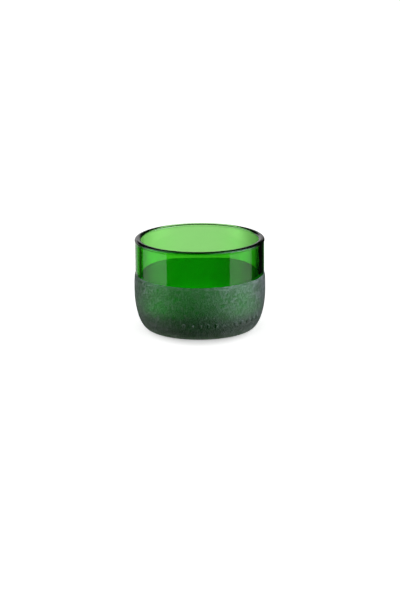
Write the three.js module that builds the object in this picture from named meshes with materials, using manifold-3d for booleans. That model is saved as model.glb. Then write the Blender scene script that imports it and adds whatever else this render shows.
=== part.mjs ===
import * as THREE from 'three';
import { mergeVertices } from 'three/addons/utils/BufferGeometryUtils.js';
import Module from 'manifold-3d';

// Low tumbler made from the foot of a green glass bottle. Millimetres, +Z up.
// The origin is the centre of the ring that the glass stands on, on the glass's axis.
// The real object is one piece of glass. It is modelled as four zones, each a closed solid:
// the fire-polished rim, the clear wall, the sandblasted wall and the thick base.

// Diameters, steps and wall
const bellyDiameter = 84;
const labelRecess = 0.8;
const wallThickness = 3.7;
const beadProud = 0.3;

// Heights of the outside, stacked from the table upwards
const heelHeight = 25.4;
const bellyHeight = 1.5;
const shoulderHeight = 9.3;
const shoulderFillet = 0.4;
const clearHeight = 19.7;
const neckHeight = 1.2;
const beadHeight = 1.45;

// Foot of the glass
const heelInset = 9.1;
const bearingWidth = 2;
const puntHeight = 4.2;

// Inside floor
const floorThickness = 4;
const floorFall = 1;
const innerHeelInset = 11.5;
const innerHeelHeight = 13.5;
const baseMargin = 0.4;

// Raised mould marks on the heel, plain pills and dots
const markProud = 0.5;
const pillWidth = 1.4;
const pillHeight = 3;
const dotSize = 2.3;
const markClearance = 0.35;
const markPitch = 4.2;
const pillCount = 5;
const dotCount = 5;
const dotGroupAngle = 48;

// Fineness of the faceted solids
const turnSegments = 64;
const arcSteps = 5;
const easeSteps = 3;
const shoulderSteps = 7;
const beadSteps = 10;
const markSegments = 10;
const markRings = 6;

// Radii
const bellyRadius = bellyDiameter / 2;
const wallRadius = bellyRadius - labelRecess;
const boreRadius = wallRadius - wallThickness;
const beadHalfWidth = (wallThickness + beadProud) / 2;
const bearingRadius = bellyRadius - heelInset;
const puntRadius = bearingRadius - bearingWidth;
const floorRadius = boreRadius - innerHeelInset;

// Levels above the table
const bellyTop = heelHeight + bellyHeight;
const frostLine = bellyTop + shoulderHeight;
const rimBottom = frostLine + clearHeight;
const beadLevel = rimBottom + neckHeight;
const floorMiddle = puntHeight + floorThickness;
const floorEdge = floorMiddle - floorFall;
const innerHeelTop = floorEdge + innerHeelHeight;
const baseTop = floorMiddle + baseMargin;

// Finishes
const clearGlass = new THREE.MeshStandardMaterial({ color: 0x1f8a2a, roughness: 0.05, metalness: 0 });
const frostedGlass = new THREE.MeshStandardMaterial({ color: 0x4a7a50, roughness: 0.65, metalness: 0 });

// The quarter ellipse of a heel: level at its foot, upright at its top.
const heelFoot = -Math.PI / 2;
const heelTop = 0;
const outerHeel = { middle: bearingRadius, top: heelHeight, radial: heelInset, rise: heelHeight };
const innerHeel = { middle: floorRadius, top: innerHeelTop, radial: innerHeelInset, rise: innerHeelHeight };

function heelAngle(heel, level) {
  return Math.asin((level - heel.top) / heel.rise);
}

function heelPoint(heel, angle) {
  const radius = heel.middle + heel.radial * Math.cos(angle);
  return new THREE.Vector2(radius, heel.top + heel.rise * Math.sin(angle));
}

// Points along a heel from one angle of its ellipse to another, both ends included.
function heelArc(heel, from, to) {
  const points = [];
  for (let step = 0; step <= arcSteps; step++) {
    points.push(heelPoint(heel, from + ((to - from) * step) / arcSteps));
  }
  return points;
}

// A soft S-shaped change of radius between two levels, without its first point.
function easedPoints(fromRadius, fromLevel, toRadius, toLevel) {
  const points = [];
  for (let step = 1; step <= easeSteps; step++) {
    const share = step / easeSteps;
    const eased = share * share * (3 - 2 * share);
    const radius = fromRadius + (toRadius - fromRadius) * eased;
    points.push(new THREE.Vector2(radius, fromLevel + (toLevel - fromLevel) * share));
  }
  return points;
}

// The shoulder under the label panel: a small fillet at its top, then a long round into the belly.
function shoulderPoints() {
  const shoulder = new THREE.CubicBezierCurve(
    new THREE.Vector2(bellyRadius, bellyTop),
    new THREE.Vector2(bellyRadius, frostLine),
    new THREE.Vector2(wallRadius, frostLine - shoulderFillet),
    new THREE.Vector2(wallRadius, frostLine),
  );
  return shoulder.getPoints(shoulderSteps);
}

// Half an ellipse from the outside over the top to the bore, both ends included.
function beadPoints() {
  const points = [];
  for (let step = 0; step <= beadSteps; step++) {
    const angle = (Math.PI * step) / beadSteps;
    const radius = boreRadius + beadHalfWidth * (1 + Math.cos(angle));
    points.push(new THREE.Vector2(radius, beadLevel + beadHeight * Math.sin(angle)));
  }
  return points;
}

// A shallow dome of revolution from its edge to the axis, or from the axis to its edge.
function domePoints(radius, edgeLevel, middleLevel, fromAxis) {
  const points = [];
  for (let step = 0; step <= arcSteps; step++) {
    const share = fromAxis ? step / arcSteps : 1 - step / arcSteps;
    const swell = (1 + Math.cos(Math.PI * share)) / 2;
    points.push(new THREE.Vector2(radius * share, edgeLevel + (middleLevel - edgeLevel) * swell));
  }
  return points;
}

// Turns an outline of (radius, level) points about the glass's axis.
function turned(outline) {
  const geometry = new THREE.LatheGeometry(outline, turnSegments);
  geometry.rotateX(Math.PI / 2);
  return geometry;
}

function closed(points) {
  return [...points, points[0].clone()];
}

function rimGeometry() {
  return turned(closed([
    new THREE.Vector2(wallRadius, rimBottom),
    ...easedPoints(wallRadius, rimBottom, wallRadius + beadProud, beadLevel),
    ...beadPoints().slice(1),
    new THREE.Vector2(boreRadius, rimBottom),
  ]));
}

function clearWallGeometry() {
  return turned(closed([
    new THREE.Vector2(wallRadius, frostLine),
    new THREE.Vector2(wallRadius, rimBottom),
    new THREE.Vector2(boreRadius, rimBottom),
    new THREE.Vector2(boreRadius, frostLine),
  ]));
}

function frostedWallGeometry() {
  return turned(closed([
    ...heelArc(outerHeel, heelAngle(outerHeel, baseTop), heelTop),
    ...shoulderPoints(),
    new THREE.Vector2(boreRadius, frostLine),
    ...heelArc(innerHeel, heelTop, heelAngle(innerHeel, baseTop)),
  ]));
}

function baseGeometry() {
  return turned([
    ...domePoints(puntRadius, 0, puntHeight, true),
    ...heelArc(outerHeel, heelFoot, heelAngle(outerHeel, baseTop)),
    ...heelArc(innerHeel, heelAngle(innerHeel, baseTop), heelFoot),
    ...domePoints(floorRadius, floorEdge, floorMiddle, false).slice(1),
  ]);
}

// Joining of solids
const wasm = await Module();
wasm.setup();

function toSolid(geometry) {
  const bare = geometry.clone();
  bare.deleteAttribute('normal');
  bare.deleteAttribute('uv');
  const merged = mergeVertices(bare);
  return new wasm.Manifold(new wasm.Mesh({
    numProp: 3,
    vertProperties: new Float32Array(merged.attributes.position.array),
    triVerts: new Uint32Array(merged.index.array),
  }));
}

function toGeometry(solid) {
  const mesh = solid.getMesh();
  const geometry = new THREE.BufferGeometry();
  geometry.setAttribute('position', new THREE.BufferAttribute(mesh.vertProperties, 3));
  geometry.setIndex(new THREE.BufferAttribute(mesh.triVerts, 1));
  geometry.computeVertexNormals();
  return geometry;
}

// One raised mark, half sunk in the heel. Its height is measured up the wall.
function markGeometry(angle, width, height) {
  const level = baseTop + markClearance + pillHeight / 2;
  const at = heelAngle(outerHeel, level);
  const foot = heelPoint(outerHeel, at);
  const slope = Math.atan2(outerHeel.radial * Math.sin(-at), outerHeel.rise * Math.cos(at));
  const geometry = new THREE.SphereGeometry(1, markSegments, markRings);
  geometry.scale(width / 2, markProud, height / 2);
  geometry.rotateX(slope);
  geometry.translate(0, -foot.x, level);
  geometry.rotateZ(angle);
  return geometry;
}

// A row of marks round the heel about a middle angle, which is 0 at the front.
function markRow(count, middleAngle, width, height) {
  const pitchAngle = markPitch / bearingRadius;
  const marks = [];
  for (let index = 0; index < count; index++) {
    const angle = middleAngle + (index - (count - 1) / 2) * pitchAngle;
    marks.push(markGeometry(angle, width, height));
  }
  return marks;
}

function frostedWallWithMarks() {
  let solid = toSolid(frostedWallGeometry());
  const dotMiddle = THREE.MathUtils.degToRad(dotGroupAngle);
  const marks = [
    ...markRow(pillCount, 0, pillWidth, pillHeight),
    ...markRow(dotCount, dotMiddle, dotSize, dotSize),
  ];
  for (const mark of marks) {
    solid = solid.add(toSolid(mark));
  }
  return toGeometry(solid);
}

function zone(name, geometry, material) {
  const mesh = new THREE.Mesh(geometry, material);
  mesh.name = name;
  return mesh;
}

const group = new THREE.Group();
group.add(zone('rim', rimGeometry(), clearGlass));
group.add(zone('clear_wall', clearWallGeometry(), clearGlass));
group.add(zone('frosted_wall', frostedWallWithMarks(), frostedGlass));
group.add(zone('base', baseGeometry(), frostedGlass));

export default group;
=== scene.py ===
import math

import bpy
import numpy as np
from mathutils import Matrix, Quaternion, Vector


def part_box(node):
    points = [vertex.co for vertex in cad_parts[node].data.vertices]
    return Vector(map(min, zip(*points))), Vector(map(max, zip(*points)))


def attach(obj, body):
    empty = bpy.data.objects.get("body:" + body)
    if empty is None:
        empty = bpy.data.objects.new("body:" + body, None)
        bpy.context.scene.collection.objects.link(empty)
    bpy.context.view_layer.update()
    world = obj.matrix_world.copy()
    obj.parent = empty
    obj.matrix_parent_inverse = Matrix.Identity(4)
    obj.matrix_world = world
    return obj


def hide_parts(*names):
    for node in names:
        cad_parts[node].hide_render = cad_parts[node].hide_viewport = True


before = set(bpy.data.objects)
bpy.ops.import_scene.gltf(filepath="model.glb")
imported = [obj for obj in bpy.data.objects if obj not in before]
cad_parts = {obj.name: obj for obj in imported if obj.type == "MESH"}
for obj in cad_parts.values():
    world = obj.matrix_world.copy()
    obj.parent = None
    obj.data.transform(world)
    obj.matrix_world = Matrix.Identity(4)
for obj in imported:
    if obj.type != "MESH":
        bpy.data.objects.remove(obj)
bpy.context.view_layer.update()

# The glass body: one piece of green bottle glass, cut off below the bottle's shoulder. The cut
# edge is melted round into a bead, and the outside below the label panel is sandblasted.
# It is blown in a mould, so its outside is true and its inside is a little wavy.
RIM_LOW, RIM_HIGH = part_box("rim")
CLEAR_LOW, CLEAR_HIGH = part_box("clear_wall")
FROSTED_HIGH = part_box("frosted_wall")[1]

WALL = 0.0037
BEAD_HEIGHT = 0.00145
SHOULDER_HEIGHT = 0.0093
SHOULDER_FILLET = 0.0004
HEEL_HEIGHT = 0.0254
HEEL_INSET = 0.0091
BEARING_WIDTH = 0.002
BEARING_ROUND = 0.0005
PUNT_HEIGHT = 0.0042
FLOOR_MIDDLE = 0.0082
FLOOR_FALL = 0.001
INNER_HEEL_INSET = 0.0115
INNER_HEEL_HEIGHT = 0.0135
BLAST_EDGE = 0.00015

belly_radius = FROSTED_HIGH.x
wall_radius = CLEAR_HIGH.x
bore_radius = wall_radius - WALL
bead_radii = ((RIM_HIGH.x - bore_radius) / 2, BEAD_HEIGHT)
bead_middle = (bore_radius + bead_radii[0], RIM_HIGH.z - BEAD_HEIGHT)
frost_line = CLEAR_LOW.z
bearing_radius = belly_radius - HEEL_INSET
punt_radius = bearing_radius - BEARING_WIDTH
floor_radius = bore_radius - INNER_HEEL_INSET
inner_heel_top = FLOOR_MIDDLE - FLOOR_FALL + INNER_HEEL_HEIGHT


def softened(share):
    """A share from 0 to 1 that starts and ends gently."""
    return share * share * (3 - 2 * share)


def straight(start, end, steps):
    """Evenly spaced points from start to end, without the first one."""
    shares = [step / steps for step in range(1, steps + 1)]
    return [(start[0] + (end[0] - start[0]) * s, start[1] + (end[1] - start[1]) * s) for s in shares]


def eased(start, end, steps):
    """Points of a soft S from start to end, upright at both, without the first one."""
    return [
        (start[0] + (end[0] - start[0]) * softened(share), level)
        for share, level in straight((0, start[1]), (1, end[1]), steps)
    ]


def swept(start, first_pull, second_pull, end, steps):
    """Points of a curve pulled towards two points on its way, without the first one."""
    points = []
    for step in range(1, steps + 1):
        t = step / steps
        shares = ((1 - t) ** 3, 3 * t * (1 - t) ** 2, 3 * t * t * (1 - t), t**3)
        corners = (start, first_pull, second_pull, end)
        points.append(tuple(sum(s * c[axis] for s, c in zip(shares, corners)) for axis in (0, 1)))
    return points


def elliptic(middle, radii, first, last, steps):
    """Points of an ellipse between two angles in degrees, without the first one."""
    angles = [math.radians(first + (last - first) * step / steps) for step in range(1, steps + 1)]
    return [(middle[0] + radii[0] * math.cos(a), middle[1] + radii[1] * math.sin(a)) for a in angles]


def domed(radius, edge_level, middle_level, steps):
    """Points of a shallow dome from its edge to the axis, without the first one."""
    points = []
    for step in range(1, steps + 1):
        share = 1 - step / steps
        swell = (1 + math.cos(math.pi * share)) / 2
        points.append((radius * share, edge_level + (middle_level - edge_level) * swell))
    return points


def heel_degrees(level):
    """Where the outer heel's quarter ellipse is at a level."""
    return math.degrees(math.asin((level - HEEL_HEIGHT) / HEEL_HEIGHT))


# Raised marks on the heel: a row of plain pills in front and a row of round dots to its right.
# They are the same glass as the heel, pressed by the mould, and they blend softly into it.
# Foot and slope are in half widths of a mark, from its middle and across its side.
MARK_LEVEL = 0.01045
MARK_PROUD = 0.0005
MARK_PITCH = 0.0042
MARK_MARGIN = 0.0005
MARK_FOOT = 1.2
MARK_SLOPE = 0.6
PILL = (0.0014, 0.003)
DOT = (0.0023, 0.0023)
MARK_ROWS = ((5, 0.0, PILL), (5, 48.0, DOT))

marks = []
for count, middle_degrees, size in MARK_ROWS:
    for index in range(count):
        turn = math.radians(middle_degrees) + (index - (count - 1) / 2) * MARK_PITCH / bearing_radius
        marks.append((turn, *size))
marks_high = MARK_LEVEL + PILL[1] / 2 + MARK_MARGIN
marks_low = MARK_LEVEL - PILL[1] / 2 - MARK_MARGIN


def mark_swell(angles, level):
    """How far the raised marks stand out at a level of the heel."""
    out = np.zeros_like(angles)
    for turn, width, height in marks:
        off = (angles - turn + math.pi) % math.tau - math.pi
        across = off * (bearing_radius + HEEL_INSET / 2) / (width / 2)
        spare = (height - width) / 2
        along = max(abs(level - MARK_LEVEL) - spare, 0) / (width / 2)
        share = np.clip((MARK_FOOT - np.hypot(across, along)) / MARK_SLOPE, 0, 1)
        out = np.maximum(out, softened(share) * MARK_PROUD)
    return out


# The turned form: the outline of the wall, drawn in short steps and turned round the axis in
# many columns, with more of both at the marks. It is one closed skin, outside and inside.
BEAD_STEPS = 20
NECK_STEPS = 12
PANEL_STEPS = 10
SHOULDER_STEPS = 20
BELLY_STEPS = 3
HEEL_STEPS = 16
MARKED_STEPS = 26
FOOT_STEPS = 18
BEARING_STEPS = 3
BEARING_ROUND_STEPS = 4
DOME_STEPS = 14
INNER_HEEL_STEPS = 22
BORE_STEPS = 24
COLUMNS = 288
MARK_SIDE_COLUMNS = 7
LEAST_TURN = 0.0025


def outer_outline():
    """The outside from the middle of the rim's top down to the axis, and how many points are clear."""
    points = [(bead_middle[0], RIM_HIGH.z)]
    points += elliptic(bead_middle, bead_radii, 90, 0, BEAD_STEPS)
    points += eased(points[-1], (wall_radius, RIM_LOW.z), NECK_STEPS)
    points += straight(points[-1], (wall_radius, frost_line), PANEL_STEPS)
    clear_count = len(points)
    points.append((wall_radius, frost_line - BLAST_EDGE))
    points += swept(
        points[-1],
        (wall_radius, frost_line - SHOULDER_FILLET),
        (belly_radius, frost_line),
        (belly_radius, frost_line - SHOULDER_HEIGHT),
        SHOULDER_STEPS,
    )
    points += straight(points[-1], (belly_radius, HEEL_HEIGHT), BELLY_STEPS)
    heel = ((bearing_radius, HEEL_HEIGHT), (HEEL_INSET, HEEL_HEIGHT))
    points += elliptic(*heel, 0, heel_degrees(marks_high), HEEL_STEPS)
    points += elliptic(*heel, heel_degrees(marks_high), heel_degrees(marks_low), MARKED_STEPS)
    points += elliptic(*heel, heel_degrees(marks_low), -90, FOOT_STEPS)
    bearing_edge = (punt_radius + BEARING_ROUND, BEARING_ROUND)
    points += straight(points[-1], (bearing_edge[0], 0), BEARING_STEPS)
    points += elliptic(bearing_edge, (BEARING_ROUND, BEARING_ROUND), 270, 180, BEARING_ROUND_STEPS)
    points += domed(punt_radius, BEARING_ROUND, PUNT_HEIGHT, DOME_STEPS)
    return points, clear_count


def inner_outline():
    """The inside from the axis up to the rim's top, without the last point."""
    inner_heel = ((floor_radius, inner_heel_top), (INNER_HEEL_INSET, INNER_HEEL_HEIGHT))
    points = domed(floor_radius, FLOOR_MIDDLE - FLOOR_FALL, FLOOR_MIDDLE, DOME_STEPS)[::-1]
    points.append((floor_radius, FLOOR_MIDDLE - FLOOR_FALL))
    points += elliptic(*inner_heel, -90, 0, INNER_HEEL_STEPS)
    points += straight(points[-1], (bore_radius, bead_middle[1]), BORE_STEPS)
    points += elliptic(bead_middle, bead_radii, 180, 90, BEAD_STEPS)[:-1]
    return points


def turns():
    """The angles of the mesh's columns, 0 in front and growing to the right, closer at the marks."""
    angles = {round(index * math.tau / COLUMNS, 6) for index in range(COLUMNS)}
    sides = range(-MARK_SIDE_COLUMNS, MARK_SIDE_COLUMNS + 1)
    for turn, width, _ in marks:
        reach = (width / 2 + MARK_MARGIN) / bearing_radius
        angles |= {round((turn + reach * side / MARK_SIDE_COLUMNS) % math.tau, 6) for side in sides}
    kept = [0.0]
    for angle in sorted(angles):
        if angle - kept[-1] > LEAST_TURN:
            kept.append(angle)
    return np.array(kept)


# The inside is wavy, as blown glass is, but true at the rim and the axis. A wave has a strength,
# how often it goes round, how it turns on its way up, and where it starts.
INNER_WAVE = 0.00007
WAVES = ((0.5, 3, 2.1, 0.6), (0.35, 5, -3.4, 2.2), (0.2, 9, 5.0, 4.1))
WAVE_FREE_RIM = 0.004
WAVE_FADE = 0.006


def inner_wave(angles, radius, level):
    """How far the inside stands out from a true round, at each angle of a level."""
    height = level / RIM_HIGH.z
    wave = sum(
        strength * np.sin(times * angles + twist * height + start)
        for strength, times, twist, start in WAVES
    )
    fade = min(1, max(0, (RIM_HIGH.z - WAVE_FREE_RIM - level) / WAVE_FADE)) * radius / bore_radius
    return wave * INNER_WAVE * fade


# The edge of the blasting isn't quite level: it runs down a little towards the front.
BLAST_TILT = 0.00045
BLAST_TILT_REACH = 0.004


def blast_tilt(angles, level):
    """How far a point near the edge of the blasting is moved up or down with it."""
    near = max(0, 1 - abs(level - frost_line) / BLAST_TILT_REACH)
    return -BLAST_TILT * near * np.cos(angles)


def glass_mesh():
    """The closed body of revolution, with its marks and its wavy inside."""
    outer, clear_count = outer_outline()
    inner = inner_outline()
    angles = turns()
    verts, blasted, bead_shade, rings = [], [], [], []
    for row, (radius, level) in enumerate(outer + inner):
        outside = row < len(outer)
        around = angles if radius > 0 else angles[:1]
        radii = np.full(len(around), radius)
        levels = np.full(len(around), level)
        if outside and marks_low < level < marks_high and radius > bearing_radius:
            radii = radii + mark_swell(around, level)
        if outside:
            levels = levels + blast_tilt(around, level)
        else:
            radii = radii + inner_wave(around, radius, level)
        rings.append(range(len(verts), len(verts) + len(around)))
        verts += zip(radii * np.sin(around), -radii * np.cos(around), levels)
        blasted += [float(outside and row >= clear_count)] * len(around)
        # The bead's outer top gets a weight for its painted shade.
        bead_shade += [math.sin(math.pi * row / BEAD_STEPS) if row < BEAD_STEPS else 0.0] * len(around)
    faces = []
    for upper, lower in zip(rings, rings[1:] + rings[:1]):
        if len(upper) == len(lower) == 1:
            continue
        for i in range(len(angles)):
            j = (i + 1) % len(angles)
            if len(lower) == 1:
                faces.append((upper[i], lower[0], upper[j]))
            elif len(upper) == 1:
                faces.append((upper[0], lower[i], lower[j]))
            else:
                faces.append((upper[i], lower[i], lower[j], upper[j]))
    mesh = bpy.data.meshes.new("glass_body")
    mesh.from_pydata(verts, [], faces)
    mesh.attributes.new("blasted", "FLOAT", "POINT").data.foreach_set("value", blasted)
    mesh.attributes.new("bead_shade", "FLOAT", "POINT").data.foreach_set("value", bead_shade)
    mesh.polygons.foreach_set("use_smooth", [True] * len(mesh.polygons))
    return mesh


def add_node(tree, kind, **values):
    """A shader node with some of its settings or input values given by name."""
    node = tree.nodes.new(kind)
    for name, value in values.items():
        if hasattr(node, name):
            setattr(node, name, value)
        else:
            node.inputs[name.replace("_", " ")].default_value = value
    return node


def joined(tree, operation, first, second):
    """The value of two sockets, or of a socket and a plain number, joined by one operation."""
    node = add_node(tree, "ShaderNodeMath", operation=operation)
    for place, term in enumerate((first, second)):
        if isinstance(term, float):
            node.inputs[place].default_value = term
        else:
            tree.links.new(term, node.inputs[place])
    return node.outputs[0]


def spread(tree, value, from_range, to_range):
    """A value stretched from one range to another and held within it."""
    node = add_node(tree, "ShaderNodeMapRange")
    node.inputs["From Min"].default_value, node.inputs["From Max"].default_value = from_range
    node.inputs["To Min"].default_value, node.inputs["To Max"].default_value = to_range
    tree.links.new(value, node.inputs["Value"])
    return node.outputs["Result"]


def mixed_colour(tree, share, first, second, blend="MIX"):
    """Two colours mixed or blended by a share, where each colour is a socket or four numbers."""
    node = add_node(tree, "ShaderNodeMix", data_type="RGBA", blend_type=blend)
    tree.links.new(share, node.inputs[0])
    for place, colour in ((6, first), (7, second)):
        if isinstance(colour, tuple):
            node.inputs[place].default_value = colour
        else:
            tree.links.new(colour, node.inputs[place])
    return node.outputs[2]


# Light takes on green in the volume, and in the blasted skin on its way in and on its way out.
# It takes on more past the first wall, and the bead's outer top has painted shade, nearly black.
GLASS_IOR = 1.52
ABSORBED_COLOUR = (0.26, 0.79, 0.05, 1)
ABSORBED_DENSITY = 450.0
CLEAR = (1, 1, 1, 1)
TINT_INWARD = (0.7, 1.0, 0.7, 1)
TINT_OUTWARD = (0.004, 1.0, 0.004, 1)
TINT_FAR_OUTWARD = (0.004, 0.45, 0.004, 1)
TINT_DEEP = (0.45, 1.0, 0.25, 1)
BEAD_PAINTED_SHADE = (0.05, 0.07, 0.05, 1)

# A ray's depth counts the surfaces that it has met before, and a wall has two of them. So a
# first hit is below the first number, and a hit past the first wall is above the second.
FIRST_HIT = 0.5
PAST_FIRST_WALL = 1.5

# The blasted skin: rough, with fine specks in its shade and its bump, under a pale veil that is
# thinner on the darker specks. Its thinning towards the foot is painted shade.
FROST_ROUGHNESS = 0.75
GRAIN_SCALE = 1400.0
GRAIN_SHARPNESS = 1.8
GRAIN_SHADE = (0.74, 0.74, 0.74, 1)
VEIL_SHADE_LEVELS = (0.0, 0.036)
VEIL_SHADE_FOOT = 0.34
COAT_ROUGHNESS = 0.7
COAT_IOR = 4.0
BUMP_STRENGTH = 0.6
BUMP_DISTANCE = 0.0002


def glass_material():
    """Green bottle glass that is clear above the frost line and sandblasted below it."""
    material = bpy.data.materials.new("green_bottle_glass")
    material.use_nodes = True
    tree = material.node_tree
    link = tree.links.new
    shader = tree.nodes["Principled BSDF"]
    shader.inputs["Transmission Weight"].default_value = 1.0
    shader.inputs["IOR"].default_value = GLASS_IOR
    shader.inputs["Coat Roughness"].default_value = COAT_ROUGHNESS
    shader.inputs["Coat IOR"].default_value = COAT_IOR

    blasted = add_node(tree, "ShaderNodeAttribute", attribute_name="blasted").outputs["Fac"]
    place = add_node(tree, "ShaderNodeTexCoord").outputs["Object"]
    path = add_node(tree, "ShaderNodeLightPath")
    first_hit = joined(tree, "LESS_THAN", path.outputs["Ray Depth"], FIRST_HIT)
    skin = joined(tree, "MULTIPLY", first_hit, blasted)

    grain = add_node(tree, "ShaderNodeTexVoronoi", Scale=GRAIN_SCALE)
    link(place, grain.inputs["Vector"])
    speck = add_node(tree, "ShaderNodeSeparateColor")
    link(grain.outputs["Color"], speck.inputs["Color"])
    speck = joined(tree, "POWER", speck.outputs["Red"], GRAIN_SHARPNESS)

    leaving = add_node(tree, "ShaderNodeNewGeometry").outputs["Backfacing"]
    deep = joined(tree, "GREATER_THAN", path.outputs["Transmission Depth"], PAST_FIRST_WALL)
    outward = mixed_colour(tree, deep, TINT_OUTWARD, TINT_FAR_OUTWARD)
    tint = mixed_colour(tree, leaving, TINT_INWARD, outward)
    tint = mixed_colour(tree, blasted, CLEAR, tint)
    tint = mixed_colour(tree, deep, tint, TINT_DEEP, "MULTIPLY")
    # Painted shade: the bead's outer top is darkened nearly to black.
    bead_shade = add_node(tree, "ShaderNodeAttribute", attribute_name="bead_shade").outputs["Fac"]
    tint = mixed_colour(tree, bead_shade, tint, BEAD_PAINTED_SHADE, "MULTIPLY")
    shade = mixed_colour(tree, speck, GRAIN_SHADE, CLEAR)
    tint = mixed_colour(tree, skin, tint, shade, "MULTIPLY")
    link(tint, shader.inputs["Base Color"])
    link(joined(tree, "MULTIPLY", blasted, FROST_ROUGHNESS), shader.inputs["Roughness"])

    level = add_node(tree, "ShaderNodeSeparateXYZ")
    link(place, level.inputs[0])
    # Painted shade: the veil thins towards the foot, where less light falls from above.
    veil = spread(tree, level.outputs["Z"], VEIL_SHADE_LEVELS, (VEIL_SHADE_FOOT, 1))
    veil = joined(tree, "MULTIPLY", veil, speck)
    link(joined(tree, "MULTIPLY", veil, skin), shader.inputs["Coat Weight"])

    bump = add_node(tree, "ShaderNodeBump", Strength=BUMP_STRENGTH, Distance=BUMP_DISTANCE)
    link(joined(tree, "MULTIPLY", grain.outputs["Distance"], blasted), bump.inputs["Height"])
    link(bump.outputs["Normal"], shader.inputs["Normal"])

    absorb = add_node(tree, "ShaderNodeVolumeAbsorption", Density=ABSORBED_DENSITY)
    absorb.inputs["Color"].default_value = ABSORBED_COLOUR
    link(absorb.outputs["Volume"], tree.nodes["Material Output"].inputs["Volume"])
    return material


glass = bpy.data.objects.new("glass_body", glass_mesh())
bpy.context.scene.collection.objects.link(glass)
glass.data.materials.append(glass_material())
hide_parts("rim", "clear_wall", "frosted_wall", "base")
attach(glass, "root")

# The floor: a plain white table top, a hair below the bearing ring. Near the glass it keeps its
# rendered soft shadow, and glows less round the foot, which paints more shadow there. Farther out
# it is lifted to white, and the glass shows the white surround there.
FLOOR_GAP = 0.0001
FLOOR_REACH = 8.0
TABLE_COLOUR = (0.8, 0.8, 0.8, 1)
TABLE_ROUGHNESS = 0.8
SHADOW_REACH = (0.035, 0.046)
SHADOW_FORWARD = 0.003
SHADOW_SQUEEZE = 1.3
SHADOW_LIFT = 0.44
WHITE_LIFT = 0.7
ONE_WALL_REACH = (0.042, 0.06)
# The painted pool of light under the glass: its reach, how far behind the middle it sits, and its
# squeeze.
UNDER_POOL_REACH = (0.025, 0.045)
UNDER_POOL_BEHIND = 0.012
UNDER_POOL_SQUEEZE = 0.75
TWO_WALLS_REACH = (0.02, 0.05)
TWO_WALLS_LIFT = 1.0
TABLE_REACH = (0.09, 0.12)

# Beyond the glass, a ray that has met more surfaces than this came through more than one wall.
MORE_THAN_ONE_WALL = 2.5

floor_mesh = bpy.data.meshes.new("floor")
floor_mesh.from_pydata(
    [(x * FLOOR_REACH, y * FLOOR_REACH, -FLOOR_GAP) for x, y in ((-1, -1), (1, -1), (1, 1), (-1, 1))],
    [],
    [(0, 1, 2, 3)],
)
floor = bpy.data.objects.new("floor", floor_mesh)
bpy.context.scene.collection.objects.link(floor)
floor.visible_glossy = False
floor.visible_shadow = False
floor_material = bpy.data.materials.new("white_table")
floor_material.use_nodes = True
table = floor_material.node_tree
table_shader = table.nodes["Principled BSDF"]
table_shader.inputs["Base Color"].default_value = TABLE_COLOUR
table_shader.inputs["Roughness"].default_value = TABLE_ROUGHNESS
table_shader.inputs["Specular IOR Level"].default_value = 0.0
table_shader.inputs["Emission Color"].default_value = (1, 1, 1, 1)
paths = add_node(table, "ShaderNodeLightPath")
spot = add_node(table, "ShaderNodeTexCoord")


def distance_round(squeeze, forward):
    """A spot's distance from the middle of a round, squeezed from the sides and moved forward."""
    moved = add_node(table, "ShaderNodeVectorMath", operation="MULTIPLY_ADD")
    moved.inputs[1].default_value = (squeeze, 1, 1)
    moved.inputs[2].default_value = (0, forward, 0)
    away = add_node(table, "ShaderNodeVectorMath", operation="LENGTH")
    table.links.new(spot.outputs["Object"], moved.inputs[0])
    table.links.new(moved.outputs[0], away.inputs[0])
    return away.outputs["Value"]


from_foot = distance_round(SHADOW_SQUEEZE, SHADOW_FORWARD)
from_back = distance_round(UNDER_POOL_SQUEEZE, -UNDER_POOL_BEHIND)

# Seen without the glass between, the table is darkest round the foot: rendered shadow, and painted shadow
# where it glows less.
lift = spread(table, from_foot, SHADOW_REACH, (SHADOW_LIFT, WHITE_LIFT))
lift = joined(table, "MULTIPLY", lift, paths.outputs["Is Camera Ray"])

# Through one wall, it is white farther out, with a painted pool of light under the glass, to the back.
lift_one = spread(table, from_foot, ONE_WALL_REACH, (0, WHITE_LIFT))
painted_pool = spread(table, from_back, UNDER_POOL_REACH, (WHITE_LIFT, 0))
lift_one = joined(table, "ADD", lift_one, painted_pool)
one_wall = joined(table, "LESS_THAN", paths.outputs["Transmission Depth"], MORE_THAN_ONE_WALL)
lift_one = joined(table, "MULTIPLY", lift_one, one_wall)

# Through two walls, it is white from just outside the foot.
lift_two = spread(table, from_foot, TWO_WALLS_REACH, (0, TWO_WALLS_LIFT))
two_walls = joined(table, "GREATER_THAN", paths.outputs["Transmission Depth"], MORE_THAN_ONE_WALL)
lift_two = joined(table, "MULTIPLY", lift_two, two_walls)
lift_through = joined(table, "ADD", lift_one, lift_two)
lift_through = joined(table, "MULTIPLY", lift_through, paths.outputs["Is Transmission Ray"])
table.links.new(joined(table, "ADD", lift, lift_through), table_shader.inputs["Emission Strength"])

# Far out, rays that came through the glass pass the table and see the surround.
beyond = spread(table, from_foot, TABLE_REACH, (0, 1))
open_share = joined(table, "MULTIPLY", beyond, paths.outputs["Is Transmission Ray"])
clear = add_node(table, "ShaderNodeBsdfTransparent")
surface = add_node(table, "ShaderNodeMixShader")
table.links.new(open_share, surface.inputs[0])
table.links.new(table_shader.outputs[0], surface.inputs[1])
table.links.new(clear.outputs[0], surface.inputs[2])
table.links.new(surface.outputs[0], table.nodes["Material Output"].inputs["Surface"])
floor_mesh.materials.append(floor_material)
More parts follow.
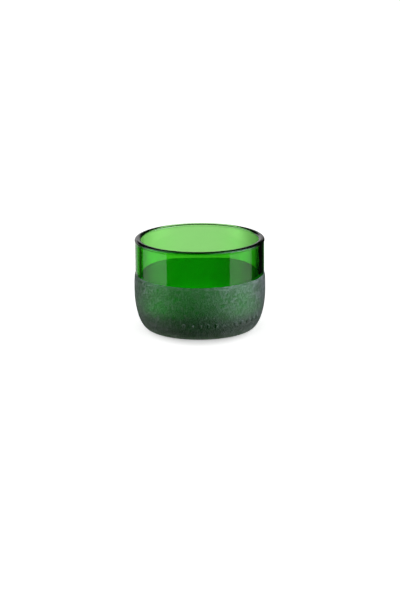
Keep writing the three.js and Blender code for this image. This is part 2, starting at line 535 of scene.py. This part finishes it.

# The studio: a white surround seen past the glass and through it, with dark boards beside the
# backdrop that draw the glass's edges. Reflections show a low backdrop, a soft box on each side
# and a dark room.

# Most of the brightnesses in the lists below come from a least-squares fit of the light to the
# glass in the photo, made by a solver outside this script. They are its numbers, thinned, rounded
# and in places scaled, and some were then changed by comparing renders with the photo.

# What rays through the glass see. Each list pairs an angle in degrees with the brightness there:
# a bearing from straight behind the glass, growing to the right, or a rise above the horizon.
BEHIND_BEARINGS = (
    (-42, 0), (-34, 0.4), (-28, 0.95), (-11, 0.97), (-7, 1.08), (-3, 1.08),
    (0, 1), (3.8, 1), (4.1, 0.78), (8, 0.62), (12, 0.3), (20, 0),
)
BEHIND_RISE = ((-27, 0), (-21, 1), (-8, 1), (0, 0.5), (6, 0))
BESIDE_BEARINGS = (
    (-140, 0), (-125, 0.7), (-115, 1.7), (-100, 2.4), (-88, 2.3), (-76, 1.4), (-66, 0.6), (-52, 0),
    (52, 0), (62, 0.4), (70, 1.1), (80, 1.7), (95, 2), (112, 1.6), (125, 0.6), (138, 0),
)
BESIDE_RISE = ((-27, 0), (-20, 0.9), (-8, 1), (0, 0.75), (10, 0.5), (22, 0.32), (38, 0.18), (65, 0))
FRONT_BEARINGS = ((-180, 0.3), (-150, 0.3), (-125, 0), (125, 0), (150, 0.3), (180, 0.3))
FRONT_RISE = ((-80, 0.5), (-40, 1), (20, 1), (60, 0.4))

# Rays that came through more than one wall also see these two.
BELOW_BEARINGS = (
    (-170, 0), (-130, 0.7), (-95, 1.8), (-55, 1.6), (-8, 1.6), (8, 1.4), (20, 0.5), (40, 0.15),
    (55, 0.45), (75, 1.2), (95, 1.4), (120, 0.9), (145, 0.1),
)
BELOW_RISE = ((-80, 0.5), (-50, 0.85), (-32, 1), (-27, 0.9), (-21, 0))
FLANK_BEARINGS = ((-28, 0), (-18, 0.3), (-8, 0.3), (-4, 0), (4, 0), (5, 0.42), (14, 0.42), (22, 0))
FLANK_RISE = ((-27, 0), (-21, 1), (-8, 1), (0, 0))

# What rays mirrored by the glass see: the backdrop and the wall above it, the low boxes on
# either side, the cool high ones and the table, in a room that is nearly dark.
BACKDROP_BEARINGS = ((-38, 0), (-32, 0.27), (-25, 0.42), (-18, 0.55), (-4, 0.6), (1, 0))
BACKDROP_RISE = ((-26, 0), (-22, 1), (-4, 1), (-1, 0))
WALL_BEARINGS = ((-50, 0), (-42, 0.75), (0, 0.7), (15, 0.2), (22, 0))
WALL_RISE = ((-3, 0), (0, 1), (15, 1), (20, 0))
LEFT_BEARINGS = (
    (-119.5, 0), (-118, 1.26), (-106, 1.19), (-91, 1.05), (-74, 0.8), (-64, 0.64), (-59, 0.5), (-57.5, 0),
)
RIGHT_BEARINGS = (
    (73.5, 0), (75, 0.75), (91, 1.05), (106, 1.16), (117, 1.2), (124, 1.22), (125.5, 0),
)
BOX_RISE = ((-32, 0), (-27, 1), (-4, 1), (-1, 0))
HIGH_LEFT_BEARINGS = (
    (-132, 0), (-115, 0.6), (-100, 1.1), (-85, 1.45), (-75, 1.35), (-64, 0.9), (-52, 0.2), (-45, 0),
)
HIGH_RIGHT_BEARINGS = (
    (54, 0), (65, 0.75), (75, 1.8), (88, 3.1), (100, 3.6), (112, 3.3), (128, 2.1), (145, 0.8), (170, 0),
)
HIGH_RISE = ((-4, 0), (-1, 0.85), (14, 1), (27, 0.93), (42, 0.75), (57, 0.42), (75, 0.1))
TABLE_BEARINGS = (
    (-100, 0), (-85, 0.45), (-60, 0.9), (-5, 0.65), (30, 0.85), (65, 1.25), (85, 1), (112, 0.2),
    (122, 0),
)
TABLE_RISE = ((-62, 1), (-35, 0.8), (-27, 0))
WHITE = (1.0, 1.0, 1.0)
COOL = (0.9, 1.0, 1.2)
ROOM = (0.01, 0.01, 0.01)
AMBIENT = (0.6, 0.6, 0.6)

world = bpy.data.worlds.new("studio")
bpy.context.scene.world = world
world.use_nodes = True
world.cycles.sampling_method = "NONE"
sky = world.node_tree
sky.nodes.clear()
out = add_node(sky, "ShaderNodeOutputWorld")
rays = add_node(sky, "ShaderNodeLightPath")
direction = add_node(sky, "ShaderNodeTexCoord")
axes = add_node(sky, "ShaderNodeSeparateXYZ")
sky.links.new(direction.outputs["Generated"], axes.inputs[0])
bearing = joined(sky, "ARCTAN2", axes.outputs["X"], axes.outputs["Y"])
turn_share = spread(sky, bearing, (-math.pi, math.pi), (0, 1))
rise_share = spread(sky, axes.outputs["Z"], (-1, 1), (0, 1))


def ramp(share, stops):
    """A value that follows stops of (share, value) and is even outside them."""
    node = add_node(sky, "ShaderNodeValToRGB")
    while len(node.color_ramp.elements) < len(stops):
        node.color_ramp.elements.new(0.5)
    for element, (place, value) in zip(node.color_ramp.elements, stops):
        element.position = place
        element.color = (value, value, value, 1)
    sky.links.new(share, node.inputs[0])
    return node.outputs["Color"]


def patch(bearings, rises):
    """The brightness of a lit area of the studio, by bearing and by rise."""
    around = ramp(turn_share, [(0.5 + degrees / 360, value) for degrees, value in bearings])
    levels = [(math.sin(math.radians(degrees)), value) for degrees, value in rises]
    upward = ramp(rise_share, [((1 + level) / 2, value) for level, value in levels])
    return joined(sky, "MULTIPLY", around, upward)


def background(colour):
    """A background light of a colour that is given as numbers or by a socket."""
    node = add_node(sky, "ShaderNodeBackground")
    if isinstance(colour, tuple):
        node.inputs["Color"].default_value = (*colour, 1)
    else:
        sky.links.new(colour, node.inputs["Color"])
    return node.outputs[0]


def chosen(kind, otherwise, light):
    """Shows one light to rays of one kind and another light to the rest."""
    mix = add_node(sky, "ShaderNodeMixShader")
    sky.links.new(rays.outputs[kind], mix.inputs[0])
    sky.links.new(otherwise, mix.inputs[1])
    sky.links.new(light, mix.inputs[2])
    return mix.outputs[0]


mirrored = None
for bearings, rises, colour in (
    (BACKDROP_BEARINGS, BACKDROP_RISE, WHITE),
    (WALL_BEARINGS, WALL_RISE, WHITE),
    (LEFT_BEARINGS, BOX_RISE, WHITE),
    (RIGHT_BEARINGS, BOX_RISE, WHITE),
    (HIGH_LEFT_BEARINGS, HIGH_RISE, COOL),
    (HIGH_RIGHT_BEARINGS, HIGH_RISE, COOL),
    (TABLE_BEARINGS, TABLE_RISE, WHITE),
):
    lit = add_node(sky, "ShaderNodeVectorMath", operation="MULTIPLY_ADD")
    sky.links.new(patch(bearings, rises), lit.inputs[0])
    lit.inputs[1].default_value = colour
    lit.inputs[2].default_value = ROOM
    if mirrored:
        sky.links.new(mirrored, lit.inputs[2])
    mirrored = lit.outputs["Vector"]
light = chosen("Is Glossy Ray", background(AMBIENT), background(mirrored))
through = joined(sky, "ADD", patch(BEHIND_BEARINGS, BEHIND_RISE), patch(BESIDE_BEARINGS, BESIDE_RISE))
through = joined(sky, "ADD", through, patch(FRONT_BEARINGS, FRONT_RISE))
twice_through = joined(sky, "GREATER_THAN", rays.outputs["Transmission Depth"], MORE_THAN_ONE_WALL)
below = joined(sky, "ADD", patch(BELOW_BEARINGS, BELOW_RISE), patch(FLANK_BEARINGS, FLANK_RISE))
below = joined(sky, "MULTIPLY", below, twice_through)
through = joined(sky, "ADD", through, below)
light = chosen("Is Transmission Ray", light, background(through))
light = chosen("Is Camera Ray", light, background(WHITE))
sky.links.new(light, out.inputs["Surface"])

# The camera: a long lens from a little above, with the glass above the middle of the frame.
# Light is followed through enough surfaces to come out of the thick bottom and the far wall.
ELEVATION = math.radians(15.1)
ROLL = math.radians(0.42)
DISTANCE = 1.5
FARTHEST_SEEN = 40
METRES_PER_PIXEL = 0.0006415
FRAME_HEIGHT_PIXELS = 600
GLASS_ABOVE_MIDDLE_PIXELS = 18.4
BOUNCES = 32
GLOSSY_BOUNCES = 12
back = Vector((0, -math.cos(ELEVATION), math.sin(ELEVATION)))
up = Vector((0, math.sin(ELEVATION), math.cos(ELEVATION)))
aim = Vector((0, 0, RIM_HIGH.z / 2)) - up * (GLASS_ABOVE_MIDDLE_PIXELS * METRES_PER_PIXEL)
camera_data = bpy.data.cameras.new("camera")
camera_data.lens = camera_data.sensor_width * DISTANCE / (FRAME_HEIGHT_PIXELS * METRES_PER_PIXEL)
camera_data.clip_end = FARTHEST_SEEN
camera = bpy.data.objects.new("camera", camera_data)
bpy.context.scene.collection.objects.link(camera)
camera.location = aim + back * DISTANCE
straight_on = (-back).to_track_quat("-Z", "Y")
camera.rotation_euler = (straight_on @ Quaternion((0, 0, 1), -ROLL)).to_euler()
bpy.context.scene.camera = camera
bpy.context.scene.view_settings.view_transform = "Standard"
bpy.context.scene.cycles.max_bounces = BOUNCES
bpy.context.scene.cycles.transmission_bounces = BOUNCES
bpy.context.scene.cycles.glossy_bounces = GLOSSY_BOUNCES
